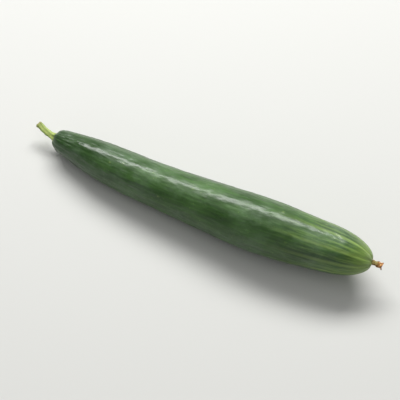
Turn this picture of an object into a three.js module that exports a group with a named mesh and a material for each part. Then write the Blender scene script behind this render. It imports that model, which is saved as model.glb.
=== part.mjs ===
// A smooth salad cucumber, as picked, lying on a flat surface. It is three pieces: the fruit, the clipped
// stub of the stalk that it hung from, and the withered blossom that is still on its far end.
// Millimetres, +Z up. +X runs from the stalk to the blossom, and the surface is z = 0. The origin is the
// middle of the footprint of the box around the whole cucumber.
import * as THREE from "three";

// Driving dimensions.
const FRUIT_LENGTH = 260; // along its spine, from the stalk's seat to the blossom's seat
const FRUIT_DIAMETER = 43; // across the belly, where it is thickest
const STALK_LENGTH = 17;
const STALK_DIAMETER = 5.2; // in the middle of the stub
const BLOSSOM_LENGTH = 8;
const BLOSSOM_DIAMETER = 8.4;

const FIT_GAP = 0.3; // left open where a piece sits on the fruit
const SETTLE = 0.25; // how far the fruit's own weight flattens its underside

// The fruit's half-width along the spine, as [share of the length, share of the largest half-width]: a slim
// neck, a belly past the middle and a blunt end. endCap rounds off both ends.
const FRUIT_WIDTHS = [
  [0, 0.38],
  [0.06, 0.51],
  [0.12, 0.64],
  [0.2, 0.735],
  [0.3, 0.78],
  [0.4, 0.825],
  [0.5, 0.895],
  [0.6, 0.975],
  [0.66, 1],
  [0.73, 0.98],
  [0.81, 0.915],
  [0.89, 0.83],
  [1, 0.74],
];
const FRUIT_RADIUS = FRUIT_DIAMETER / 2;
const NECK_CAP = 6; // length of the round shoulder at the stalk
const BLOSSOM_CAP = 30; // length of the round end at the blossom
const STALK_SEAT = 3.9; // radius of the small flat that the stalk grows from
const BLOSSOM_SEAT = 1.7; // radius of the scar that the blossom grows from

// Lobes are [how many, how deep as a share of the radius].
const SEED_CHAMBERS = [3, 0.024]; // they make the fruit a rounded triangle, with one flat side down
const STALK_RIDGES = [5, 0.07];
const PETALS = [5, 0.12];

// The spine, seen from above, as [share of the length, sideways]: bowed a little, with the neck hooked back.
const SPINE_BOW = [
  [0, 5.2],
  [0.14, 1.6],
  [0.36, -1.6],
  [0.62, -1.8],
  [0.84, -0.2],
  [1, 1.8],
];
// The fruit touches the surface with its neck and with its belly, at these shares of the length. The neck is
// slimmer, so the spine climbs towards the blossom.
const NECK_REST = 0.225;
const BELLY_REST = 0.61;

// Outlines of the two small pieces above their seats, as [share of the length, share of the half-width].
const STALK_OUTLINE = [
  [0.16, 1.14],
  [0.45, 1],
  [0.75, 0.98],
  [1, 1.12],
];
const BLOSSOM_OUTLINE = [
  [0.22, 0.42],
  [0.55, 0.86],
  [0.78, 1],
  [1, 0.62],
];
const SEAT_EDGE = 0.2; // how much narrower than its seat a small piece starts
const STALK_STRAIGHT = 0.55; // the share of the stub's length that leaves the fruit in line with it
const STALK_SWAY = new THREE.Vector3(0, 3.2, 1.6); // how far its clipped end has bent aside

const FRUIT_RINGS = 46;
const FRUIT_SIDES = 48;
const SMALL_RINGS = 10;
const SMALL_SIDES = 20;
const UP = new THREE.Vector3(0, 0, 1);

const widthAt = new THREE.CubicInterpolant(
  FRUIT_WIDTHS.map(([share]) => share),
  FRUIT_WIDTHS.map(([, width]) => width),
  1,
);

// Half-width of the fruit at a share of its length, before its ends are rounded off.
function bodyRadius(share) {
  return FRUIT_RADIUS * widthAt.evaluate(share)[0];
}

// A quarter of an ellipse: 0 at the very end, and 1 from the cap's full length on.
function endCap(distance, capLength) {
  const short = Math.max(0, 1 - distance / capLength);
  return Math.sqrt(1 - short * short);
}

// The fruit's outline over its length. The rings crowd together towards the ends, where the outline turns.
function fruitOutline() {
  const points = [];
  for (let ring = 0; ring <= FRUIT_RINGS; ring++) {
    const share = (1 - Math.cos((Math.PI * ring) / FRUIT_RINGS)) / 2;
    const fromStalk = share * FRUIT_LENGTH;
    const fromBlossom = FRUIT_LENGTH - fromStalk;
    const cut = endCap(fromStalk, NECK_CAP) * endCap(fromBlossom, BLOSSOM_CAP);
    const seat = share < 0.5 ? STALK_SEAT : BLOSSOM_SEAT;
    const radius = seat + (bodyRadius(share) - seat) * cut;
    points.push(new THREE.Vector2(radius, fromStalk));
  }
  return points;
}

// The outline of a small piece, from its seat outwards, as one smooth curve.
function smallOutline(seat, shares, diameter, length) {
  const points = shares.map(
    ([along, width]) => new THREE.Vector2((width * diameter) / 2, along * length),
  );
  const start = new THREE.Vector2(seat - SEAT_EDGE, 0);
  return new THREE.SplineCurve([start, ...points]).getPoints(SMALL_RINGS);
}

// A body turned from an outline, which stands on +Y and is closed on the axis at both ends.
function turnedBody(outline, sides, lobes) {
  const foot = new THREE.Vector2(0, outline[0].y);
  const top = new THREE.Vector2(0, outline[outline.length - 1].y);
  const geometry = new THREE.LatheGeometry([foot, ...outline, top], sides);
  shapeLobes(geometry, lobes);
  return geometry;
}

// Swells a turned body into shallow lengthwise lobes. layAlong turns the crest of the first one upwards.
function shapeLobes(geometry, [count, depth]) {
  const position = geometry.getAttribute("position");
  for (let i = 0; i < position.count; i++) {
    const angle = Math.atan2(position.getZ(i), position.getX(i));
    const swell = 1 + depth * Math.cos(count * angle);
    position.setX(i, position.getX(i) * swell);
    position.setZ(i, position.getZ(i) * swell);
  }
}

// Lays a turned body along a curve. Its x becomes upwards and its z sideways.
function layAlong(geometry, curve) {
  geometry.computeBoundingBox();
  const height = geometry.boundingBox.max.y;
  const position = geometry.getAttribute("position");
  for (let i = 0; i < position.count; i++) {
    const share = position.getY(i) / height;
    const along = curve.getTangentAt(share);
    const side = new THREE.Vector3().crossVectors(UP, along).normalize();
    const over = new THREE.Vector3().crossVectors(along, side);
    const place = curve
      .getPointAt(share)
      .addScaledVector(over, position.getX(i))
      .addScaledVector(side, position.getZ(i));
    position.setXYZ(i, place.x, place.y, place.z);
  }
}

// The height of the spine: a straight climb through the two places where the underside touches.
function spineHeight(share) {
  const flatSide = 1 - SEED_CHAMBERS[1];
  const neck = bodyRadius(NECK_REST) * flatSide;
  const belly = bodyRadius(BELLY_REST) * flatSide;
  return THREE.MathUtils.mapLinear(share, NECK_REST, BELLY_REST, neck, belly);
}

function fruitSpine() {
  const points = SPINE_BOW.map(
    ([share, sideways]) =>
      new THREE.Vector3(share * FRUIT_LENGTH, sideways, spineHeight(share)),
  );
  return new THREE.CatmullRomCurve3(points, false, "centripetal");
}

function fruitGeometry(spine) {
  const geometry = turnedBody(fruitOutline(), FRUIT_SIDES, SEED_CHAMBERS);
  layAlong(geometry, spine);
  return geometry;
}

// The stub flares onto the fruit, has soft ridges, sways a little to one side and ends in a straight cut.
function stalkGeometry(spine) {
  const outline = smallOutline(STALK_SEAT, STALK_OUTLINE, STALK_DIAMETER, STALK_LENGTH);
  const geometry = turnedBody(outline, SMALL_SIDES, STALK_RIDGES);
  const outwards = spine.getTangentAt(0).negate();
  const seat = spine.getPointAt(0).addScaledVector(outwards, FIT_GAP);
  const bend = seat.clone().addScaledVector(outwards, STALK_LENGTH * STALK_STRAIGHT);
  const cut = seat.clone().addScaledVector(outwards, STALK_LENGTH).add(STALK_SWAY);
  layAlong(geometry, new THREE.QuadraticBezierCurve3(seat, bend, cut));
  return geometry;
}

// The dried petals, as one plain twist.
function blossomGeometry(spine) {
  const outline = smallOutline(BLOSSOM_SEAT, BLOSSOM_OUTLINE, BLOSSOM_DIAMETER, BLOSSOM_LENGTH);
  const geometry = turnedBody(outline, SMALL_SIDES, PETALS);
  const outwards = spine.getTangentAt(1);
  const seat = spine.getPointAt(1).addScaledVector(outwards, FIT_GAP);
  const tip = seat.clone().addScaledVector(outwards, BLOSSOM_LENGTH);
  layAlong(geometry, new THREE.LineCurve3(seat, tip));
  return geometry;
}

// How far the fruit comes down until its underside is flattened by SETTLE.
function settlingDrop(fruit) {
  fruit.computeBoundingBox();
  return fruit.boundingBox.min.z + SETTLE;
}

function flattenUnderside(fruit) {
  const position = fruit.getAttribute("position");
  for (let i = 0; i < position.count; i++) {
    position.setZ(i, Math.max(0, position.getZ(i)));
  }
}

function piece(name, geometry, colour, roughness) {
  geometry.computeVertexNormals();
  const material = new THREE.MeshStandardMaterial({
    color: colour,
    roughness,
    metalness: 0,
  });
  const mesh = new THREE.Mesh(geometry, material);
  mesh.name = name;
  return mesh;
}

const spine = fruitSpine();
const fruit = fruitGeometry(spine);
const stalk = stalkGeometry(spine);
const blossom = blossomGeometry(spine);
const drop = settlingDrop(fruit);
for (const geometry of [fruit, stalk, blossom]) {
  geometry.translate(0, 0, -drop);
}
flattenUnderside(fruit);

const cucumber = new THREE.Group();
cucumber.add(
  piece("fruit", fruit, 0x3b5c26, 0.35),
  piece("stalk", stalk, 0xa5ab6a, 0.65),
  piece("withered_blossom", blossom, 0xb3813f, 0.85),
);

// The origin goes to the middle of the whole footprint.
const footprint = new THREE.Box3()
  .setFromObject(cucumber)
  .getCenter(new THREE.Vector3());
cucumber.position.set(-footprint.x, -footprint.y, 0);

export default cucumber;
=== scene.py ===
import math

import bmesh
import bpy
import numpy as np
from bpy.props import FloatProperty, FloatVectorProperty, IntProperty, PointerProperty
from bpy.types import Operator, Panel, PropertyGroup
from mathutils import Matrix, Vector, noise
from mathutils.bvhtree import BVHTree


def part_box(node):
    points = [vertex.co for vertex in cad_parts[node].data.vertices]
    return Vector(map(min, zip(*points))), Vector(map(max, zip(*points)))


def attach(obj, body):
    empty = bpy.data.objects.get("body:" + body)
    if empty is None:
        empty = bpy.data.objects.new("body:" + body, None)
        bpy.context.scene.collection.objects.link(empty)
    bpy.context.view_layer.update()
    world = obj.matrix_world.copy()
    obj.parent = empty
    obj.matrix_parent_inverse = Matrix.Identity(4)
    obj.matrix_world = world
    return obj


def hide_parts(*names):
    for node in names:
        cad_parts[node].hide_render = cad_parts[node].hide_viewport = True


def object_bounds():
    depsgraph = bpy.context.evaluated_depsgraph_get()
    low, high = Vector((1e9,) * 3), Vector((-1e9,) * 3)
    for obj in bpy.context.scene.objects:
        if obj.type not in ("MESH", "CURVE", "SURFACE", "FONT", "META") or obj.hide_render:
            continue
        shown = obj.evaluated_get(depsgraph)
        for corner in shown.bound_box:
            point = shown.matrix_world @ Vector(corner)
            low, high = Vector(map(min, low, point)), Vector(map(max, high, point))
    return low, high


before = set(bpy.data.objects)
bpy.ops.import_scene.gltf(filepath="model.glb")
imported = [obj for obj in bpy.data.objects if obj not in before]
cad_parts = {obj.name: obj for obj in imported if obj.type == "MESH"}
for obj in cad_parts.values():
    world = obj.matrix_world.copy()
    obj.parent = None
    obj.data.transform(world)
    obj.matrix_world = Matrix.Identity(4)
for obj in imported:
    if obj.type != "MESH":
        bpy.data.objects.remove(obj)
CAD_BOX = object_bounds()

bl_info = {
    "name": "Salad cucumber",
    "version": (1, 0, 0),
    "blender": (4, 5, 0),
    "location": "3D View > Sidebar > Cucumber",
    "description": "Models a smooth salad cucumber with its stalk stub and its withered blossom",
    "category": "Add Mesh",
}

MM = 0.001
PLACE = "grown_place"  # attribute: where a point would be on a straight, even piece
MARKS = "grown_marks"  # attribute: how strongly a point carries each of three kinds of mark, 0 to 1
EVEN_RADIUS = 20 * MM  # the even fruit's radius, so that skin patterns keep their real size at the belly
RIBS = 10  # shallow lengthwise ribs of the fruit, as its skin grows over the seed chambers
FIVE = 5  # angles of the stalk, sepals and petals
HAIR = 0.005 * MM  # closer than this counts as the same place


# ---- Colours and nodes ----

SMOOTH = {"interpolation_type": "SMOOTHSTEP"}  # for a Map Range node that eases in and out


def linear(hex_colour):
    """An sRGB hex colour as linear red, green, blue."""
    channels = [int(hex_colour[i:i + 2], 16) / 255 for i in (0, 2, 4)]
    return tuple(c / 12.92 if c <= 0.04045 else ((c + 0.055) / 1.055) ** 2.4 for c in channels)


def add_node(tree, kind, settings=None, links=None):
    """Adds a node. Settings go to its sockets or else its properties, and links join its sockets."""
    made = tree.nodes.new(kind)
    for name, value in (settings or {}).items():
        if isinstance(name, int) or name in made.inputs:
            made.inputs[name].default_value = value
        else:
            setattr(made, name, value)
    for name, source in (links or {}).items():
        tree.links.new(source, made.inputs[name])
    return made


def new_material(name):
    """An empty node material and its tree."""
    material = bpy.data.materials.new(name)
    material.use_nodes = True
    material.node_tree.nodes.clear()
    return material, material.node_tree


def per(millimetres):
    """A pattern's scale, from the real size of its features."""
    return 1 / (millimetres * MM)


def colour(values):
    """A colour property as the four numbers that a colour socket takes."""
    return (*values, 1)


def read_attributes(tree):
    """The place that each point had on the straight piece, and its three marks."""
    place, marks = (
        add_node(tree, "ShaderNodeAttribute", {"attribute_name": name}).outputs["Vector"]
        for name in (PLACE, MARKS)
    )
    return place, add_node(tree, "ShaderNodeSeparateXYZ", links={0: marks}).outputs


def paint(tree, ground, coats):
    """Lays coats of colour over a ground colour. Each coat is (where it covers, its colour)."""
    painted = None
    for cover, tint in coats:
        mix = add_node(
            tree, "ShaderNodeMix", {"data_type": "RGBA", 6: colour(ground), 7: colour(tint)}, {0: cover}
        )
        if painted:
            tree.links.new(painted, mix.inputs[6])
        painted = mix.outputs[2]
    return painted


# ---- Selecting, modelling and finishing ----

def start_object(name):
    """Names the object that an operator has just made and puts its place into its mesh."""
    piece = bpy.context.active_object
    piece.name = name
    piece.data.name = name
    bpy.ops.object.transform_apply(location=True, rotation=True, scale=True)
    return piece


def deselect_all():
    """Leaves edit mode and selects nothing."""
    if bpy.context.mode != "OBJECT":
        bpy.ops.object.mode_set(mode="OBJECT")
    bpy.ops.object.select_all(action="DESELECT")


def select_only(piece):
    """Selects one piece and makes it the active one."""
    deselect_all()
    piece.select_set(True)
    bpy.context.view_layer.objects.active = piece


def select_parts(piece, kind, chosen):
    """In edit mode, selects the vertices, edges or faces (VERT, EDGE or FACE) that pass the test."""
    bpy.ops.mesh.select_mode(type=kind)
    bpy.ops.mesh.select_all(action="DESELECT")
    mesh = bmesh.from_edit_mesh(piece.data)
    for part in {"VERT": mesh.verts, "EDGE": mesh.edges, "FACE": mesh.faces}[kind]:
        if chosen(part):
            part.select_set(True)
    mesh.select_flush_mode()
    bmesh.update_edit_mesh(piece.data)


def apply_modifier(piece, kind, **settings):
    """Adds a modifier with its settings and applies it."""
    modifier = piece.modifiers.new(kind.title(), kind)
    for name, value in settings.items():
        setattr(modifier, name, value)
    bpy.ops.object.modifier_apply(modifier=modifier.name)


def rows_of(piece, kind):
    """The piece's vertices (co) or the way that its surface faces there (normal), one row each."""
    flat = np.empty(len(piece.data.vertices) * 3, np.float32)
    piece.data.vertices.foreach_get(kind, flat)
    return flat.reshape(-1, 3).astype(float)


def set_places(piece, places):
    """Moves the piece's vertices to these rows."""
    piece.data.vertices.foreach_set("co", places.astype(np.float32).ravel())
    piece.data.update()


def give_attribute(piece, name, *columns):
    """Stores up to three numbers for each vertex, which a material can read."""
    rows = np.column_stack(columns)
    rows = np.pad(rows, ((0, 0), (0, 3 - rows.shape[1])))
    attribute = piece.data.attributes.new(name, "FLOAT_VECTOR", "POINT")
    attribute.data.foreach_set("vector", rows.astype(np.float32).ravel())


def finish_piece(piece, material, node=None):
    """Gives a finished piece its material and smooth shading, hides the plain node that it stands in for, if
    one is given, and hangs it on the root body.
    """
    piece.data.materials.clear()
    piece.data.materials.append(material)
    select_only(piece)
    bpy.ops.object.shade_smooth()
    if node:
        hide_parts(node)
    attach(piece, "root")


def smooth_step(low, high, value):
    """0 below low, 1 above high and a smooth way between, for arrays too."""
    t = np.clip((value - low) / (high - low), 0, 1)
    return t * t * (3 - 2 * t)


def noise_at(points, size, seed):
    """Smooth noise between about -1 and 1 at each point, with features of the given size."""
    shift = Vector((seed * 17.3, seed * 5.1, seed * 9.7))
    return np.array([noise.noise(Vector(p) / size + shift) for p in points])


def dots_at(points, spacing, radius):
    """Round dots, scattered about a spacing apart: 1 in the middle of a dot and 0 outside it."""
    nearest = np.array([noise.voronoi(Vector(p) / spacing)[0][0] for p in points]) * spacing
    return 1 - smooth_step(0.2 * radius, radius, nearest)


# ---- Measuring the frame ----

AXIS_CUTS = 10  # cuts that a small node's middle line is fitted to
AXIS_SIDES = 16  # directions that each cut is measured in
AXIS_MARGIN = 0.15  # of a small node's length, left out at each end


def sections_of(node, count, sides, margin):
    """Where planes across X cut a node, from -X to +X and closer together towards both ends: for each, the
    middle of the cut and its mean half-width. The outer cuts stay a margin inside the node's ends."""
    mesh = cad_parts[node].data
    corners = [vertex.co.copy() for vertex in mesh.vertices]
    skin = BVHTree.FromPolygons(corners, [face.vertices[:] for face in mesh.polygons])
    low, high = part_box(node)
    near_enough = max((high.x - low.x) / 40, 2 * MM)  # of a cut, for a corner to count towards its middle
    sections = []
    for i in range(count + 1):
        share = (1 - math.cos(math.pi * i / count)) / 2
        x = low.x + margin + share * (high.x - low.x - 2 * margin)
        near = [corner for corner in corners if abs(corner.x - x) < near_enough]
        middle = Vector((x, 0, 0))
        for k in (1, 2):
            middle[k] = (min(corner[k] for corner in near) + max(corner[k] for corner in near)) / 2
        reach = []
        for turn in (2 * math.pi * k / sides for k in range(sides)):
            ray = Vector((0, math.sin(turn), math.cos(turn)))
            hit = skin.ray_cast(middle, ray)[0]
            if hit:
                reach.append(hit)
        if len(reach) < sides:
            raise RuntimeError(f"{node}: the middle of the cut at {x:.4f} m lies outside it")
        middle = sum(reach, Vector()) / sides
        radius = sum((hit - middle).length for hit in reach) / sides
        sections.append((middle, radius))
    return sections


def small_node_axis(node):
    """A small node's middle line, as a function from x to a place on it, and its half-width halfway."""
    low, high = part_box(node)
    sections = sections_of(node, AXIS_CUTS, AXIS_SIDES, AXIS_MARGIN * (high.x - low.x))
    stations = [middle.x for middle, _ in sections]
    side, height = [np.polyfit(stations, [middle[k] for middle, _ in sections], 2) for k in (1, 2)]

    def axis(x):
        return Vector((x, np.polyval(side, x), np.polyval(height, x)))

    direction = (axis(high.x) - axis(low.x)).normalized()
    return axis, sections[AXIS_CUTS // 2][1] * direction.x


def extrude_along(name, sections, sides):
    """A tube drawn through the sections: a circle, extruded and resized ring by ring. Its last ring stays
    selected, in edit mode."""
    deselect_all()
    middle, radius = sections[0]
    bpy.ops.mesh.primitive_circle_add(
        vertices=sides, radius=radius, location=middle, rotation=(0, math.pi / 2, 0)
    )
    piece = start_object(name)
    bpy.ops.object.mode_set(mode="EDIT")
    bpy.ops.mesh.select_mode(type="VERT")
    bpy.ops.mesh.select_all(action="SELECT")
    for next_middle, next_radius in sections[1:]:
        step = next_middle - middle
        bpy.ops.mesh.extrude_region_move(TRANSFORM_OT_translate={"value": step})
        grown = next_radius / radius
        bpy.ops.transform.resize(value=(grown, grown, grown), center_override=next_middle)
        middle, radius = next_middle, next_radius
    return piece


def close_ends(piece, sections):
    """Closes both ends of a tube that was just extruded and turns all faces outwards."""
    bpy.ops.mesh.edge_face_add()
    first = sections[0][0].x
    select_parts(piece, "VERT", lambda vertex: abs(vertex.co.x - first) < HAIR)
    bpy.ops.mesh.edge_face_add()
    bpy.ops.mesh.select_all(action="SELECT")
    bpy.ops.mesh.normals_make_consistent(inside=False)


# ---- The fruit ----

class FruitSettings(PropertyGroup):
    rings: IntProperty(
        name="Rings", description="Rings that the fruit is extruded through", default=46, min=20, max=90
    )
    sides: IntProperty(
        name="Sides", description="Corners of each ring before it is subdivided", default=48, min=24, max=64
    )
    lump_height: FloatProperty(
        name="Lump height", description="Height of the broad uneven lumps", default=0.45 * MM, unit="LENGTH"
    )
    rib_height: FloatProperty(
        name="Rib height", description="Height of the lengthwise ribs at the neck", default=0.34 * MM,
        unit="LENGTH",
    )
    grain_height: FloatProperty(
        name="Grain height", description="Height of the fine lengthwise grain", default=0.07 * MM,
        unit="LENGTH",
    )
    pebble_height: FloatProperty(
        name="Pebble height", description="Height of the small soft bumps", default=0.2 * MM, unit="LENGTH"
    )
    deep_green: FloatVectorProperty(
        name="Deep green", description="Most of the skin", subtype="COLOR", size=3, default=linear("2C4620")
    )
    fresh_green: FloatVectorProperty(
        name="Fresh green", description="Mottling and lengthwise streaks", subtype="COLOR", size=3,
        default=linear("476B32"),
    )
    tip_green: FloatVectorProperty(
        name="Tip green", description="The pale blossom end and its rays", subtype="COLOR", size=3,
        default=linear("87A050"),
    )
    neck_green: FloatVectorProperty(
        name="Neck green", description="The darkest skin, on the neck", subtype="COLOR", size=3,
        default=linear("1F3618"),
    )
    bloom: FloatVectorProperty(
        name="Bloom", description="The thin wax where it hasn't rubbed off", subtype="COLOR", size=3,
        default=linear("9DB09C"),
    )
    cork: FloatVectorProperty(
        name="Cork", description="Dry scar tissue at both ends", subtype="COLOR", size=3,
        default=linear("A8986A"),
    )


END_MARGIN = 0.5 * MM  # from the fruit's ends to its first and last section
END_STRETCH = 12 * MM  # where the spine leaves the sections and heads for what grew at the end
CAP_INSETS = (0.4, 0.3)  # rings inside both end faces, as shares of the blossom end's half-width
LENGTHWISE = 0.85  # how nearly an edge runs along X to count as lengthwise
SHORT_EDGE = 0.5 * MM  # lengthwise edges shorter than this aren't halved


def spine_of(sections):
    """The fruit's middle line, which starts under the stalk, follows the sections and ends at the scar."""
    first, last = sections[0][0].x, sections[-1][0].x
    foot = small_node_axis("stalk")[0](first)
    scar = small_node_axis("withered_blossom")[0](last)
    inner = [
        middle for middle, _ in sections if min(middle.x - first, last - middle.x) > END_STRETCH
    ]
    return [foot, *inner, scar]


def straightened(places, spine):
    """For each vertex of the fruit: the distance from the stalk's seat, the turn about the spine with 0
    upwards, and the distance from the spine."""
    stations = [middle.x for middle in spine]
    side = places[:, 1] - np.interp(places[:, 0], stations, [middle.y for middle in spine])
    height = places[:, 2] - np.interp(places[:, 0], stations, [middle.z for middle in spine])
    return places[:, 0] - stations[0], np.arctan2(side, height), np.hypot(side, height)


def grow_skin(along, turn, radial, length, settings):
    """How far the skin stands out from its plain shape, and its marks: (furrows, cork, old spines)."""
    place = np.column_stack([along, EVEN_RADIUS * np.sin(turn), EVEN_RADIUS * np.cos(turn)])
    share = along / length
    from_stalk = np.hypot(along, radial)
    from_blossom = np.hypot(length - along, radial)

    lumps = noise_at(place, 34 * MM, 1) + 0.35 * noise_at(place, 14 * MM, 2)
    wander = 0.5 * noise_at(place * (1, 0.3, 0.3), 60 * MM, 3)
    crest = np.abs(np.cos(RIBS / 2 * turn + wander))
    ribs = 0.16 + 0.84 * (1 - smooth_step(0.08, 0.5, share)) + 0.34 * smooth_step(0.8, 0.96, share)
    grain_place = place * (0.12, 1, 1)
    grain = noise_at(grain_place, 1.5 * MM, 4) + 0.6 * noise_at(grain_place, 3.6 * MM, 5)
    pebbles = noise_at(place * (0.6, 1, 1), 3.4 * MM, 6)

    # Both ends draw in round what grew there: creases, a low rim and a dimple.
    at_tip = smooth_step(1.5 * MM, 4 * MM, from_blossom) * (1 - smooth_step(5 * MM, 20 * MM, from_blossom))
    creases = (1 - crest) ** 4
    tip_rim = np.exp(-((from_blossom - 3.4 * MM) / (1.1 * MM)) ** 2)
    dimple = 1 - smooth_step(1.5 * MM, 5.5 * MM, from_blossom)
    at_neck = 1 - smooth_step(4 * MM, 11 * MM, from_stalk)
    puckers = np.cos(FIVE * turn + 0.4)
    spines = dots_at(place, 12 * MM, 1.5 * MM)
    relief = (
        settings.lump_height * lumps
        + settings.rib_height * ribs * (crest ** 0.6 - 0.7)
        + settings.grain_height * grain
        + settings.pebble_height * pebbles
        - 0.3 * MM * at_tip * creases
        + 0.22 * MM * tip_rim
        - 0.6 * MM * dimple
        + 0.36 * MM * at_neck * puckers
        + 0.16 * MM * spines
    )
    furrows = smooth_step(0.5, 0.95, 1 - crest)
    cork = 1 - smooth_step(2 * MM, 3.2 * MM, from_blossom)
    cork += 0.8 * (1 - smooth_step(3.8 * MM, 5.4 * MM, from_stalk))
    return place, relief, (furrows, cork, spines)


def skin_material(settings, length):
    """Cucumber skin: living cells under a thin natural wax. It is deep green with paler lengthwise streaks
    and a pale blossom end, and its soft shine is broken by its fine grain."""
    material, tree = new_material("waxy_cucumber_skin")
    place, (furrows, cork, spines) = read_attributes(tree)
    along = add_node(tree, "ShaderNodeSeparateXYZ", links={0: place}).outputs["X"]

    # Streaks follow the ribs: about 2 mm wide and 25 mm long.
    grain_place = add_node(tree, "ShaderNodeMapping", {"Scale": (0.08, 1, 1)}, {"Vector": place})
    streaks = add_node(
        tree, "ShaderNodeTexNoise", {"Scale": per(2.2), "Detail": 3, "Roughness": 0.6},
        {"Vector": grain_place.outputs[0]},
    )
    streak = add_node(
        tree, "ShaderNodeMapRange", {**SMOOTH, "From Min": 0.42, "From Max": 0.7},
        {"Value": streaks.outputs["Fac"]},
    ).outputs[0]
    # Mottling: soft patches of 10 to 15 mm, longer than wide.
    patch_place = add_node(tree, "ShaderNodeMapping", {"Scale": (0.45, 1, 1)}, {"Vector": place})
    patches = add_node(
        tree, "ShaderNodeTexNoise", {"Scale": per(12), "Detail": 4, "Roughness": 0.62},
        {"Vector": patch_place.outputs[0]},
    )
    patch = add_node(
        tree, "ShaderNodeMapRange", {**SMOOTH, "From Min": 0.36, "From Max": 0.68, "To Max": 0.5},
        {"Value": patches.outputs["Fac"]},
    ).outputs[0]
    paler = add_node(
        tree, "ShaderNodeMath", {"operation": "MULTIPLY_ADD", 1: 0.38}, {0: streak, 2: patch}
    ).outputs[0]

    # The neck is darker. The blossom end is pale, and pale rays run from it up the furrows and the streaks.
    neck = add_node(
        tree, "ShaderNodeMapRange",
        {**SMOOTH, "From Min": 0.3 * length, "From Max": 0.02 * length, "To Max": 0.6},
        {"Value": along},
    ).outputs[0]
    tip = add_node(
        tree, "ShaderNodeMapRange",
        {**SMOOTH, "From Min": 0.91 * length, "From Max": length, "To Max": 0.62},
        {"Value": along},
    ).outputs[0]
    reach = add_node(
        tree, "ShaderNodeMapRange", {**SMOOTH, "From Min": 0.66 * length, "From Max": 0.98 * length},
        {"Value": along},
    ).outputs[0]
    streak_rays = add_node(
        tree, "ShaderNodeMath", {"operation": "MULTIPLY", 1: 0.45}, {0: streak}
    ).outputs[0]
    ray_shape = add_node(
        tree, "ShaderNodeMath", {"operation": "MULTIPLY_ADD", 1: 0.6}, {0: furrows, 2: streak_rays}
    ).outputs[0]
    rays = add_node(
        tree, "ShaderNodeMath", {"operation": "MULTIPLY", "use_clamp": True}, {0: ray_shape, 1: reach}
    ).outputs[0]

    # Breathing pores: pale dots under half a millimetre, drawn 0.8 mm across so that they show, and only in
    # some patches.
    pores = add_node(tree, "ShaderNodeTexVoronoi", {"Scale": per(3.6), "Randomness": 1}, {"Vector": place})
    pore = add_node(
        tree, "ShaderNodeMapRange", {**SMOOTH, "From Min": 0.15, "From Max": 0.06, "To Max": 0.7},
        {"Value": pores.outputs["Distance"]},
    ).outputs[0]
    dots = add_node(tree, "ShaderNodeMath", {"operation": "MULTIPLY"}, {0: pore, 1: patch}).outputs[0]
    old_spines = add_node(tree, "ShaderNodeMath", {"operation": "MULTIPLY", 1: 0.3}, {0: spines}).outputs[0]

    # The wax is left as a faint grey bloom in patches of about 30 mm, and a few scuffs have dried pale.
    wax = add_node(
        tree, "ShaderNodeTexNoise", {"Scale": per(26), "Detail": 5, "Roughness": 0.7}, {"Vector": place}
    )
    bloom = add_node(
        tree, "ShaderNodeMapRange", {**SMOOTH, "From Min": 0.4, "From Max": 0.72, "To Max": 0.13},
        {"Value": wax.outputs["Fac"]},
    ).outputs[0]
    scuff_place = add_node(tree, "ShaderNodeMapping", {"Scale": (0.35, 1, 1)}, {"Vector": place})
    rubs = add_node(
        tree, "ShaderNodeTexNoise", {"Scale": per(5), "Detail": 6, "Roughness": 0.75},
        {"Vector": scuff_place.outputs[0]},
    )
    scuffs = add_node(
        tree, "ShaderNodeMapRange", {**SMOOTH, "From Min": 0.7, "From Max": 0.8, "To Max": 0.5},
        {"Value": rubs.outputs["Fac"]},
    ).outputs[0]
    base = paint(tree, settings.deep_green, [
        (paler, settings.fresh_green),
        (neck, settings.neck_green),
        (tip, settings.tip_green),
        (rays, settings.tip_green),
        (dots, settings.tip_green),
        (old_spines, settings.tip_green),
        (bloom, settings.bloom),
        (scuffs, settings.cork),
        (cork, settings.cork),
    ])

    # Small soft bumps and fine grain break the shine into short lengthwise strokes. The real grain is finer:
    # it is drawn 1.5 mm wide so that it shows.
    bump_place = add_node(tree, "ShaderNodeMapping", {"Scale": (0.5, 1, 1)}, {"Vector": place})
    soft_bumps = add_node(
        tree, "ShaderNodeTexNoise", {"Scale": per(2.4), "Detail": 1}, {"Vector": bump_place.outputs[0]}
    )
    soft = add_node(
        tree, "ShaderNodeBump", {"Strength": 0.8, "Distance": 0.3 * MM},
        {"Height": soft_bumps.outputs["Fac"]},
    )
    fine_grain = add_node(
        tree, "ShaderNodeTexNoise", {"Scale": per(1.5), "Detail": 3}, {"Vector": grain_place.outputs[0]}
    )
    fine = add_node(
        tree, "ShaderNodeBump", {"Strength": 0.6, "Distance": 0.12 * MM},
        {"Height": fine_grain.outputs["Fac"], "Normal": soft.outputs[0]},
    )
    cells = add_node(tree, "ShaderNodeTexNoise", {"Scale": per(0.5), "Detail": 1}, {"Vector": place})
    peel = add_node(
        tree, "ShaderNodeBump", {"Strength": 0.5, "Distance": 0.02 * MM},
        {"Height": cells.outputs["Fac"], "Normal": fine.outputs[0]},
    )
    rough = add_node(
        tree, "ShaderNodeMapRange", {"From Min": 0.3, "From Max": 0.7, "To Min": 0.26, "To Max": 0.46},
        {"Value": patches.outputs["Fac"]},
    )
    surface = add_node(
        tree, "ShaderNodeBsdfPrincipled",
        {"IOR": 1.36, "Coat Weight": 0.2, "Coat Roughness": 0.13, "Coat IOR": 1.4,
         "Subsurface Weight": 0.06, "Subsurface Radius": (0.3, 1, 0.2), "Subsurface Scale": 0.7 * MM},
        {"Base Color": base, "Roughness": rough.outputs[0], "Normal": peel.outputs[0]},
    )
    add_node(tree, "ShaderNodeOutputMaterial", links={"Surface": surface.outputs[0]})
    return material


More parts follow.
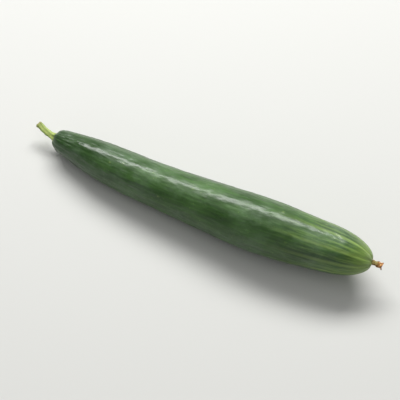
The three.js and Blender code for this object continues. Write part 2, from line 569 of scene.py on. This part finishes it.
class CUCUMBER_OT_fruit(Operator):
    """Extrude the fruit through its sections, draw it onto the frame and give its skin its relief"""

    bl_idname = "cucumber.fruit"
    bl_label = "Grow the Fruit"

    def execute(self, context):
        settings = context.scene.cucumber_fruit
        sections = sections_of("fruit", settings.rings, settings.sides, END_MARGIN)
        fruit = extrude_along("fruit_skin", sections, settings.sides)
        close_ends(fruit, sections)
        select_parts(fruit, "FACE", lambda face: len(face.verts) == settings.sides)
        for share in CAP_INSETS:
            bpy.ops.mesh.inset(thickness=share * sections[-1][1])
        bpy.ops.object.mode_set(mode="OBJECT")
        apply_modifier(fruit, "SHRINKWRAP", target=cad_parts["fruit"])
        apply_modifier(fruit, "SMOOTH", factor=0.5, iterations=2)
        apply_modifier(fruit, "SUBSURF", levels=2, render_levels=2)

        # The squares are longer than wide except near the ends, so their long edges are halved.
        def runs_lengthwise(edge):
            start, end = (vertex.co for vertex in edge.verts)
            return abs(start.x - end.x) > max(LENGTHWISE * (start - end).length, SHORT_EDGE)

        bpy.ops.object.mode_set(mode="EDIT")
        select_parts(fruit, "EDGE", runs_lengthwise)
        bpy.ops.mesh.subdivide(number_cuts=1)
        bpy.ops.object.mode_set(mode="OBJECT")

        places = rows_of(fruit, "co")
        length = sections[-1][0].x - sections[0][0].x
        place, relief, marks = grow_skin(
            *straightened(places, spine_of(sections)), length, settings
        )
        places += rows_of(fruit, "normal") * relief[:, None]
        places[:, 2] = np.maximum(places[:, 2], 0)
        set_places(fruit, places)
        give_attribute(fruit, PLACE, place)
        give_attribute(fruit, MARKS, *marks)
        finish_piece(fruit, skin_material(settings, length), "fruit")
        return {"FINISHED"}


# ---- The stalk ----

class StalkSettings(PropertyGroup):
    ridge_height: FloatProperty(
        name="Ridge height", description="Height of the five lengthwise angles", default=0.42 * MM,
        unit="LENGTH",
    )
    knob_height: FloatProperty(
        name="Knob height", description="Height of the uneven knobs", default=0.3 * MM, unit="LENGTH"
    )
    sunk: FloatProperty(
        name="Sunk", description="How deep its foot grows into the fruit", default=1.2 * MM, unit="LENGTH"
    )
    rind_green: FloatVectorProperty(
        name="Rind green", description="The pale rind between the angles", subtype="COLOR", size=3,
        default=linear("A9B468"),
    )
    ridge_green: FloatVectorProperty(
        name="Ridge green", description="The greener angles", subtype="COLOR", size=3,
        default=linear("71893F"),
    )
    pith: FloatVectorProperty(
        name="Pith", description="The clipped face", subtype="COLOR", size=3, default=linear("CFCBA0")
    )
    dried_edge: FloatVectorProperty(
        name="Dried edge", description="Where the clipped end has dried", subtype="COLOR", size=3,
        default=linear("8C7A4C"),
    )


# The stub's half-width as [share of its length from the foot, share of its half-width halfway].
STALK_OUTLINE = [
    (0, 1.5), (0.06, 1.48), (0.13, 1.2), (0.26, 1.05), (0.5, 1), (0.78, 0.96), (0.93, 1.06), (1, 1.04),
]
STALK_RINGS = 26
STALK_SIDES = 40
STALK_TWIST = 0.5  # radians over the stub's length
RIM_SLACK = 1.2  # the clipped end's half-width with its ridges, as a share of the half-width halfway
# The clipped face from its edge inwards, as (inset, step), both shares of its half-width: the rind's cut
# edge, a step down, two rings of pith and a soft hollow.
CUT_STEPS = [(0.1, 0), (0.03, -0.05), (0.14, 0), (0.24, 0), (0.1, -0.04), (0.08, -0.1), (0.12, 0)]
STRAND_RING = 0.61  # how far out on the clipped face its five strands are, as a share of its half-width
STRAND_PIT = (0.5, 0.72)  # how far out a strand's pit starts and ends, measured in the same way
BEND_STEPS = 40  # stretches of the line that the stub is bent along


def bend_along(piece, places):
    """Bends a straight piece, which starts at the origin and runs along +X, along a line of places."""
    line = bpy.data.curves.new("bending_line", "CURVE")
    line.dimensions = "3D"
    spline = line.splines.new("POLY")
    spline.points.add(len(places) - 1)
    for point, place in zip(spline.points, places):
        point.co = (*place, 1)
    holder = bpy.data.objects.new("bending_line", line)
    bpy.context.scene.collection.objects.link(holder)
    apply_modifier(piece, "CURVE", object=holder, deform_axis="POS_X")
    bpy.data.objects.remove(holder)


def stalk_material(settings, length):
    """Fresh stalk rind: pale green, fibrous and dull, greener along its angles. The clipped face is moist
    pith with darker strands, and it has dried brown round its edge."""
    material, tree = new_material("fresh_stalk_rind")
    place, (ridges, cut, strands) = read_attributes(tree)
    along = add_node(tree, "ShaderNodeSeparateXYZ", links={0: place}).outputs["X"]

    fibre_place = add_node(tree, "ShaderNodeMapping", {"Scale": (0.12, 1, 1)}, {"Vector": place})
    fibres = add_node(
        tree, "ShaderNodeTexNoise", {"Scale": per(0.7), "Detail": 3}, {"Vector": fibre_place.outputs[0]}
    )
    blotches = add_node(tree, "ShaderNodeTexNoise", {"Scale": per(3), "Detail": 3}, {"Vector": place})
    greener = add_node(
        tree, "ShaderNodeMath", {"operation": "MULTIPLY_ADD", 1: 0.9, 2: -0.25}, {0: fibres.outputs["Fac"]}
    ).outputs[0]
    on_ridges = add_node(
        tree, "ShaderNodeMath", {"operation": "MULTIPLY_ADD", "use_clamp": True, 1: 0.6},
        {0: ridges, 2: greener},
    ).outputs[0]
    foot = add_node(
        tree, "ShaderNodeMapRange",
        {**SMOOTH, "From Min": 0.22 * length, "From Max": 0.05 * length, "To Max": 0.7},
        {"Value": along},
    ).outputs[0]
    dry_end = add_node(
        tree, "ShaderNodeMapRange", {**SMOOTH, "From Min": 0.86 * length, "From Max": 0.99 * length},
        {"Value": along},
    ).outputs[0]
    dried = add_node(
        tree, "ShaderNodeMath", {"operation": "MULTIPLY"}, {0: dry_end, 1: blotches.outputs["Fac"]}
    ).outputs[0]
    base = paint(tree, settings.rind_green, [
        (on_ridges, settings.ridge_green),
        (foot, settings.ridge_green),
        (dried, settings.dried_edge),
        (cut, settings.pith),
        (strands, settings.dried_edge),
    ])
    bump = add_node(
        tree, "ShaderNodeBump", {"Strength": 0.6, "Distance": 0.08 * MM}, {"Height": fibres.outputs["Fac"]}
    )
    surface = add_node(
        tree, "ShaderNodeBsdfPrincipled",
        {"Roughness": 0.6, "IOR": 1.42, "Subsurface Weight": 0.12, "Subsurface Radius": (0.6, 1, 0.3),
         "Subsurface Scale": 0.8 * MM},
        {"Base Color": base, "Normal": bump.outputs[0]},
    )
    add_node(tree, "ShaderNodeOutputMaterial", links={"Surface": surface.outputs[0]})
    return material


class CUCUMBER_OT_stalk(Operator):
    """Draw the stub of the stalk straight, clip and shape its end, and bend it to its place"""

    bl_idname = "cucumber.stalk"
    bl_label = "Grow the Stalk"

    def execute(self, context):
        settings = context.scene.cucumber_stalk
        axis, core = small_node_axis("stalk")
        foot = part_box("fruit")[0].x + settings.sunk
        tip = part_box("stalk")[0].x
        end_direction = (axis(tip + MM) - axis(tip)).normalized()
        rim = RIM_SLACK * core * math.sqrt(1 - end_direction.x ** 2)
        line = [axis(foot + (tip + rim - foot) * i / BEND_STEPS) for i in range(BEND_STEPS + 1)]
        length = sum((b - a).length for a, b in zip(line, line[1:]))

        shares = [i / STALK_RINGS for i in range(STALK_RINGS + 1)]
        radii = np.interp(shares, *zip(*STALK_OUTLINE)) * core
        sections = [(Vector((share * length, 0, 0)), radius) for share, radius in zip(shares, radii)]
        stub = extrude_along("stalk_stub", sections, STALK_SIDES)
        close_ends(stub, sections)
        self.clip_end(stub, sections[-1][1], length)
        bpy.ops.object.mode_set(mode="OBJECT")
        apply_modifier(stub, "SUBSURF", levels=2, render_levels=2)
        self.shape_rind(stub, core, length, settings)
        bend_along(stub, line)
        finish_piece(stub, stalk_material(settings, length), "stalk")
        return {"FINISHED"}

    @staticmethod
    def clip_end(stub, radius, length):
        """Steps the clipped face inwards and sinks a small pit for each strand."""
        def is_clipped_face(face):
            return len(face.verts) == STALK_SIDES and face.calc_center_median().x > length / 2

        def is_strand(face):
            centre = face.calc_center_median()
            from_axis = math.hypot(centre.y, centre.z) / radius
            turn = math.atan2(centre.y, centre.z) * FIVE / (2 * math.pi)
            on_angle = abs(turn - round(turn)) < 0.1
            in_ring = STRAND_PIT[0] < from_axis < STRAND_PIT[1]
            return on_angle and in_ring and centre.x > length - 0.5 * MM

        select_parts(stub, "FACE", is_clipped_face)
        for width, step in CUT_STEPS:
            bpy.ops.mesh.inset(thickness=width * radius, depth=step * radius)
        select_parts(stub, "FACE", is_strand)
        bpy.ops.mesh.inset(thickness=0.05 * radius, depth=-0.08 * radius)

    @staticmethod
    def shape_rind(stub, core, length, settings):
        """Raises the angles, knobs and small hairs, and marks the angles and the clipped face."""
        places = rows_of(stub, "co")
        along = places[:, 0]
        from_axis = np.hypot(places[:, 1], places[:, 2])
        turn = np.arctan2(places[:, 1], places[:, 2]) + STALK_TWIST * along / length
        cut = smooth_step(length - 1.3 * MM, length - 0.9 * MM, along)
        cut *= 1 - smooth_step(0.86 * core, 0.98 * core, from_axis)
        ridges = (0.5 + 0.5 * np.cos(FIVE * turn)) ** 1.4
        foot = 1 - smooth_step(1.5 * MM, 5 * MM, along)
        knobs = noise_at(places, 2.6 * MM, 11)
        hairs = dots_at(places, 1.5 * MM, 0.34 * MM)
        fibres = noise_at(places * (0.1, 1, 1), 0.5 * MM, 12)
        relief = (
            settings.ridge_height * (1 + 0.9 * foot) * (ridges - 0.45)
            + settings.knob_height * knobs
            + 0.16 * MM * hairs
            + 0.05 * MM * fibres
        )
        strands = np.zeros(len(places))
        for k in range(FIVE):
            spot = 2 * math.pi * k / FIVE
            side, height = (STRAND_RING * core * way(spot) for way in (math.sin, math.cos))
            aside = np.hypot(places[:, 1] - side, places[:, 2] - height)
            strands += cut * (1 - smooth_step(0.2 * MM, 0.5 * MM, aside))
        give_attribute(stub, PLACE, places)
        give_attribute(stub, MARKS, ridges, cut, 0.7 * strands)
        normals = rows_of(stub, "normal")
        places += normals * (relief * (1 - cut))[:, None]
        places[:, 0] += 0.1 * MM * cut * noise_at(places, 0.6 * MM, 13)
        set_places(stub, places)


# ---- The withered blossom ----

class BlossomSettings(PropertyGroup):
    petal_length: FloatProperty(
        name="Petal length", description="From the calyx to the tip, along the petal", default=5.8 * MM,
        unit="LENGTH",
    )
    petal_width: FloatProperty(
        name="Petal width", description="Across a petal where it is widest, if it lay flat",
        default=5.4 * MM, unit="LENGTH",
    )
    petal_thickness: FloatProperty(
        name="Petal thickness", description="Thickness of the dried tissue", default=0.16 * MM,
        unit="LENGTH",
    )
    crumple: FloatProperty(
        name="Crumple", description="Height of the creases in a petal", default=0.5 * MM, unit="LENGTH"
    )
    petal_tan: FloatVectorProperty(
        name="Petal tan", description="The dried petals", subtype="COLOR", size=3, default=linear("CD9C5E")
    )
    petal_brown: FloatVectorProperty(
        name="Petal brown", description="Veins, edges and creases", subtype="COLOR", size=3,
        default=linear("7E4A28"),
    )
    calyx_olive: FloatVectorProperty(
        name="Calyx olive", description="The dried cup that holds the petals", subtype="COLOR", size=3,
        default=linear("8C8048"),
    )


# The calyx, from its foot in the fruit out to its mouth and back down inside, as (along, half-width) in mm.
CALYX_OUTLINE = [
    (-1, 1.6), (-0.2, 1.9), (0.5, 2.05), (1.1, 1.7), (1.8, 1.5), (2.5, 1.6), (3.1, 1.95), (3.6, 2.3),
    (3.65, 2.2), (3.2, 1.8), (2.6, 1.35), (2.2, 0.7),
]
CALYX_SIDES = 40
# The style inside, from the cup's bottom to its head, as (along, half-width) in mm.
STYLE_OUTLINE = [(1.6, 0.4), (2.6, 0.32), (3.6, 0.3), (4.3, 0.42), (4.8, 0.72), (5.3, 0.74), (5.7, 0.4)]
STYLE_SIDES = 18
STYLE_LOBES = 3
PETAL_GRID = (26, 18)  # squares along and across a petal
PETAL_FOOT = (2.3 * MM, 0.9 * MM)  # where a petal starts, along the calyx and out from its axis
PETAL_SPREAD = (math.radians(6), math.radians(50))  # the petal's lean at its foot and at its tip
PETAL_ROLL = (0.7, 1.6)  # radians that each of its sides rolls in, at its foot and at its tip
PETAL_TWIST = 0.8  # radians that it winds round the blossom's axis on its way to the tip
# Creases in a petal, as (seed, size in mm, share of the crumple height).
CREASES = [(30, 2.2, 1), (40, 0.9, 0.4)]


def tube_through(name, outline, sides):
    """A closed, smoothed tube along +X, from its outline as (along, half-width) in mm."""
    sections = [(Vector((along * MM, 0, 0)), radius * MM) for along, radius in outline]
    tube = extrude_along(name, sections, sides)
    close_ends(tube, sections)
    bpy.ops.object.mode_set(mode="OBJECT")
    apply_modifier(tube, "SUBSURF", levels=2, render_levels=2)
    return tube


def settle_on_fruit(piece):
    """Turns a piece that was made along +X to stand on the scar that the blossom grew from."""
    axis, _ = small_node_axis("withered_blossom")
    low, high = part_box("withered_blossom")
    scar = axis(low.x)
    select_only(piece)
    piece.rotation_euler = (axis(high.x) - scar).to_track_quat("X", "Z").to_euler()
    piece.location = scar
    bpy.ops.object.transform_apply(location=True, rotation=True, scale=True)


def dried_material(name, ground, dark):
    """Dried flower tissue: thin, dull and papery, with darker veins and with browner edges."""
    material, tree = new_material(name)
    place, (edges, _, _) = read_attributes(tree)
    vein_place = add_node(tree, "ShaderNodeMapping", {"Scale": (0.18, 1, 1)}, {"Vector": place})
    veins = add_node(
        tree, "ShaderNodeTexNoise", {"Scale": per(0.7), "Detail": 3, "Roughness": 0.65},
        {"Vector": vein_place.outputs[0]},
    )
    vein = add_node(
        tree, "ShaderNodeMapRange", {**SMOOTH, "From Min": 0.5, "From Max": 0.72, "To Max": 0.75},
        {"Value": veins.outputs["Fac"]},
    ).outputs[0]
    blotches = add_node(tree, "ShaderNodeTexNoise", {"Scale": per(2.4), "Detail": 3}, {"Vector": place})
    blotch = add_node(
        tree, "ShaderNodeMapRange", {**SMOOTH, "From Min": 0.5, "From Max": 0.75, "To Max": 0.6},
        {"Value": blotches.outputs["Fac"]},
    ).outputs[0]
    base = paint(tree, ground, [(vein, dark), (blotch, dark), (edges, dark)])
    bump = add_node(
        tree, "ShaderNodeBump", {"Strength": 0.7, "Distance": 0.06 * MM}, {"Height": veins.outputs["Fac"]}
    )
    surface = add_node(
        tree, "ShaderNodeBsdfPrincipled",
        {"Roughness": 0.78, "IOR": 1.45, "Subsurface Weight": 0.15, "Subsurface Radius": (1, 0.6, 0.3),
         "Subsurface Scale": 0.4 * MM},
        {"Base Color": base, "Normal": bump.outputs[0]},
    )
    add_node(tree, "ShaderNodeOutputMaterial", links={"Surface": surface.outputs[0]})
    return material


class CUCUMBER_OT_calyx(Operator):
    """Draw the shrivelled cup, wrinkled lengthwise, with five short points round its mouth"""

    bl_idname = "cucumber.calyx"
    bl_label = "Grow the Calyx"

    def execute(self, context):
        settings = context.scene.cucumber_blossom
        cup = tube_through("withered_calyx", CALYX_OUTLINE, CALYX_SIDES)
        places = rows_of(cup, "co")
        turn = np.arctan2(places[:, 1], places[:, 2])
        from_axis = np.hypot(places[:, 1], places[:, 2])
        even = np.column_stack([places[:, 0], 2 * MM * np.sin(turn), 2 * MM * np.cos(turn)])
        wrinkles = np.cos(2 * FIVE * turn + 1.5 * noise_at(even, 2 * MM, 21))
        crumples = noise_at(even, 1.1 * MM, 22)
        mouth = smooth_step(2.7 * MM, 3.6 * MM, places[:, 0]) * smooth_step(1.5 * MM, 2.2 * MM, from_axis)
        points = (0.5 + 0.5 * np.cos(FIVE * turn + 0.6)) ** 3 * mouth
        give_attribute(cup, PLACE, even)
        give_attribute(cup, MARKS, 0.6 * mouth)
        relief = 0.12 * MM * wrinkles + 0.1 * MM * crumples
        places += rows_of(cup, "normal") * (relief * smooth_step(0.3 * MM, 1.2 * MM, from_axis))[:, None]
        places[:, 0] += 1.1 * MM * points
        places[:, 1:] *= (1 + 0.18 * points)[:, None]
        set_places(cup, places)
        settle_on_fruit(cup)
        olive = dried_material("dried_calyx", settings.calyx_olive, settings.petal_brown)
        finish_piece(cup, olive, "withered_blossom")
        return {"FINISHED"}


class CUCUMBER_OT_style(Operator):
    """Draw the shrivelled style, with its three-lobed head, which stands in the middle of the petals"""

    bl_idname = "cucumber.style"
    bl_label = "Grow the Style"

    def execute(self, context):
        settings = context.scene.cucumber_blossom
        style = tube_through("withered_style", STYLE_OUTLINE, STYLE_SIDES)
        places = rows_of(style, "co")
        turn = np.arctan2(places[:, 1], places[:, 2])
        head = smooth_step(4 * MM, 4.8 * MM, places[:, 0])
        give_attribute(style, PLACE, places)
        give_attribute(style, MARKS, 0.5 * head)
        places[:, 1:] *= (1 + 0.35 * head * np.cos(STYLE_LOBES * turn))[:, None]
        places += 0.12 * MM * noise_at(places, 0.9 * MM, 50)[:, None]
        set_places(style, places)
        settle_on_fruit(style)
        olive = dried_material("dried_style", settings.calyx_olive, settings.petal_brown)
        finish_piece(style, olive)
        return {"FINISHED"}


class CUCUMBER_OT_petals(Operator):
    """Roll one dried petal, copy it round, crumple each in its own way and set them in the calyx"""

    bl_idname = "cucumber.petals"
    bl_label = "Grow the Petals"

    def execute(self, context):
        settings = context.scene.cucumber_blossom
        tan = dried_material("dried_petal", settings.petal_tan, settings.petal_brown)
        first = self.petal(settings)
        petals = [first] + [self.copy_turned(first, k) for k in range(1, FIVE)]
        for k, petal in enumerate(petals):
            self.crumple(petal, k, settings)
            settle_on_fruit(petal)
            apply_modifier(petal, "SOLIDIFY", thickness=settings.petal_thickness, offset=0)
            apply_modifier(petal, "SUBSURF", levels=1, render_levels=1)
            finish_piece(petal, tan)
        return {"FINISHED"}

    @staticmethod
    def petal(settings):
        """One petal, which leans out from the calyx, twists round it and rolls its sides in as it dries."""
        deselect_all()
        bpy.ops.mesh.primitive_grid_add(x_subdivisions=PETAL_GRID[0], y_subdivisions=PETAL_GRID[1], size=1)
        petal = start_object("withered_petal_1")
        flat = rows_of(petal, "co")
        along = flat[:, 0] + 0.5
        across = 2 * flat[:, 1]
        half = settings.petal_width / 2 * np.sin(math.pi * (0.1 + 0.84 * along)) ** 0.7
        lean_from, lean_to = PETAL_SPREAD
        steps = np.linspace(0, 1, 60)
        leans = lean_from + (lean_to - lean_from) * steps ** 1.6
        step_length = settings.petal_length / len(steps)
        spine_x = PETAL_FOOT[0] + np.cumsum(np.cos(leans)) * step_length
        spine_out = PETAL_FOOT[1] + np.cumsum(np.sin(leans)) * step_length
        lean = np.interp(along, steps, leans)
        roll_from, roll_to = PETAL_ROLL
        roll = roll_from + (roll_to - roll_from) * along
        sideways = half / roll * np.sin(roll * across)
        inwards = half / roll * (1 - np.cos(roll * across))
        x = np.interp(along, steps, spine_x) + inwards * np.sin(lean)
        out = np.interp(along, steps, spine_out) - inwards * np.cos(lean)
        turn = PETAL_TWIST * along
        y = out * np.sin(turn) + sideways * np.cos(turn)
        z = out * np.cos(turn) - sideways * np.sin(turn)
        set_places(petal, np.column_stack([x, y, z]))
        give_attribute(petal, PLACE, along * settings.petal_length, across * half, 0 * along)
        edges = np.maximum(smooth_step(0.6, 1, np.abs(across)), smooth_step(0.7, 1, along))
        give_attribute(petal, MARKS, 0.85 * edges)
        return petal

    @staticmethod
    def copy_turned(petal, k):
        """A copy with its own mesh, turned about the blossom's axis and grown to a length of its own."""
        select_only(petal)
        bpy.ops.object.duplicate(linked=False)
        copy = bpy.context.active_object
        copy.rotation_euler.x = 2 * math.pi * k / FIVE
        copy.scale.x = 0.84 + 0.04 * (k * 2 % FIVE)
        return start_object(f"withered_petal_{k + 1}")

    @staticmethod
    def crumple(petal, k, settings):
        """Creases each petal in its own way, more towards its tip."""
        places = rows_of(petal, "co")
        more = smooth_step(PETAL_FOOT[0], PETAL_FOOT[0] + 0.7 * settings.petal_length, places[:, 0])
        for seed, size, share in CREASES:
            shift = np.column_stack([noise_at(places, size * MM, seed + 3 * k + i) for i in range(3)])
            places += settings.crumple * share * shift * (0.25 + more)[:, None]
        set_places(petal, places)


# ---- The stage ----

class StageSettings(PropertyGroup):
    azimuth: FloatProperty(
        name="Azimuth", description="Camera's turn about the cucumber", default=math.radians(23),
        subtype="ANGLE",
    )
    elevation: FloatProperty(
        name="Elevation", description="Camera's height over the horizon", default=math.radians(70),
        subtype="ANGLE",
    )
    lens: FloatProperty(name="Lens", description="Focal length in millimetres", default=85)
    filling: FloatProperty(
        name="Filling", description="Share of the picture's width that the cucumber fills", default=0.88,
        subtype="FACTOR",
    )


# The pale room's horizon, which the far floor fades into.
ROOM_TINT = (0.95, 0.975, 1, 1)
HORIZON_GLOW = 0.78
FADE = (0.35, 1.2)  # from where to where the floor fades, in metres from the cucumber
FLOOR_RADIUS = 4
# Softboxes, as (name, how far behind, above and to the right, width and height, watts). A long one behind
# draws the bright line on the upper side. A wide one overhead and a weak one in front soften the shadows.
SOFTBOXES = [
    ("strip_light", (1.2, 1.28, 0), (1.8, 0.48), 50),
    ("ceiling_light", (0.1, 1.5, 0), (1.6, 1.6), 7),
    ("front_light", (-1.2, 0.7, -0.4), (0.9, 0.7), 0.8),
]


def floor_material():
    """A matt painted board, pale and plain. Far from the cucumber it fades into the room."""
    material, tree = new_material("matt_pale_board")
    place = add_node(tree, "ShaderNodeTexCoord").outputs["Object"]
    away = add_node(tree, "ShaderNodeVectorMath", {"operation": "LENGTH"}, {0: place}).outputs["Value"]
    far = add_node(
        tree, "ShaderNodeMapRange", {**SMOOTH, "From Min": FADE[0], "From Max": FADE[1]}, {"Value": away}
    )
    board = add_node(
        tree, "ShaderNodeBsdfPrincipled", {"Base Color": colour(linear("CACAC6")), "Roughness": 0.8}
    )
    haze = add_node(tree, "ShaderNodeEmission", {"Color": ROOM_TINT, "Strength": HORIZON_GLOW})
    surface = add_node(
        tree, "ShaderNodeMixShader", links={0: far.outputs[0], 1: board.outputs[0], 2: haze.outputs[0]}
    )
    add_node(tree, "ShaderNodeOutputMaterial", links={"Surface": surface.outputs[0]})
    return material


def add_softbox(name, place, target, size, watts):
    """A rectangular light that faces the target. Its first side runs level."""
    lamp = bpy.data.lights.new(name, "AREA")
    lamp.shape = "RECTANGLE"
    lamp.size, lamp.size_y = size
    lamp.energy = watts
    holder = bpy.data.objects.new(name, lamp)
    bpy.context.scene.collection.objects.link(holder)
    holder.location = place
    holder.rotation_euler = (target - place).to_track_quat("-Z", "Y").to_euler()
    return holder


class CUCUMBER_OT_stage(Operator):
    """Lay the pale floor and set up the soft lights and the camera"""

    bl_idname = "cucumber.stage"
    bl_label = "Set the Stage"

    def execute(self, context):
        settings = context.scene.cucumber_stage
        deselect_all()
        bpy.ops.mesh.primitive_circle_add(vertices=96, radius=FLOOR_RADIUS, fill_type="NGON")
        floor = start_object("floor")
        floor.data.materials.append(floor_material())

        low, high = CAD_BOX
        centre = (low + high) / 2
        level = Vector((math.cos(settings.azimuth), math.sin(settings.azimuth), 0))
        away = Vector((-level.y, level.x, 0))
        rise = Vector((0, 0, 1))
        back = -away * math.cos(settings.elevation) + rise * math.sin(settings.elevation)
        for name, (behind, above, right), size, watts in SOFTBOXES:
            place = centre + away * behind + rise * above + level * right
            add_softbox(name, place, centre, size, watts)

        world = bpy.data.worlds.new("pale_room")
        world.use_nodes = True
        world.node_tree.nodes.clear()
        direction = add_node(world.node_tree, "ShaderNodeTexCoord").outputs["Generated"]
        height = add_node(world.node_tree, "ShaderNodeSeparateXYZ", links={0: direction}).outputs["Z"]
        glow = add_node(
            world.node_tree, "ShaderNodeMapRange",
            {**SMOOTH, "From Min": 0.04, "From Max": 0.3, "To Min": HORIZON_GLOW, "To Max": 0.13},
            {"Value": height},
        )
        sky = add_node(
            world.node_tree, "ShaderNodeBackground", {"Color": ROOM_TINT}, {"Strength": glow.outputs[0]}
        )
        add_node(world.node_tree, "ShaderNodeOutputWorld", links={"Surface": sky.outputs[0]})
        context.scene.world = world
        context.scene.view_settings.view_transform = "Standard"

        lens = bpy.data.cameras.new("camera")
        lens.lens = settings.lens
        camera = bpy.data.objects.new("camera", lens)
        context.scene.collection.objects.link(camera)
        width = (high.x - low.x) * math.cos(settings.azimuth) / settings.filling
        distance = width * settings.lens / lens.sensor_width
        camera.location = centre + back * distance
        camera.rotation_euler = (-back).to_track_quat("-Z", "Y").to_euler()
        context.scene.camera = camera
        return {"FINISHED"}


class CUCUMBER_PT_panel(Panel):
    """Lists the steps and the sizes and colours that they use"""

    bl_idname = "CUCUMBER_PT_panel"
    bl_label = "Cucumber"
    bl_space_type = "VIEW_3D"
    bl_region_type = "UI"
    bl_category = "Cucumber"

    def draw(self, context):
        for group, (_, operators) in PARTS.items():
            box = self.layout.box()
            for operator in operators:
                box.operator(operator.bl_idname)
            settings = getattr(context.scene, group)
            for name in settings.bl_rna.properties.keys():
                if name not in ("rna_type", "name"):
                    box.prop(settings, name)


# Each group of settings on the scene, with its class and the operators that read it.
PARTS = {
    "cucumber_stage": (StageSettings, [CUCUMBER_OT_stage]),
    "cucumber_fruit": (FruitSettings, [CUCUMBER_OT_fruit]),
    "cucumber_stalk": (StalkSettings, [CUCUMBER_OT_stalk]),
    "cucumber_blossom": (BlossomSettings, [CUCUMBER_OT_calyx, CUCUMBER_OT_style, CUCUMBER_OT_petals]),
}


def register():
    for name, (group, operators) in PARTS.items():
        bpy.utils.register_class(group)
        setattr(bpy.types.Scene, name, PointerProperty(type=group))
        for operator in operators:
            bpy.utils.register_class(operator)
    bpy.utils.register_class(CUCUMBER_PT_panel)


def unregister():
    bpy.utils.unregister_class(CUCUMBER_PT_panel)
    for name, (group, operators) in PARTS.items():
        for operator in operators:
            bpy.utils.unregister_class(operator)
        delattr(bpy.types.Scene, name)
        bpy.utils.unregister_class(group)


def main():
    register()
    bpy.ops.cucumber.stage()
    bpy.ops.cucumber.fruit()
    bpy.ops.cucumber.stalk()
    bpy.ops.cucumber.calyx()
    bpy.ops.cucumber.style()
    bpy.ops.cucumber.petals()


if __name__ == "__main__":
    main()
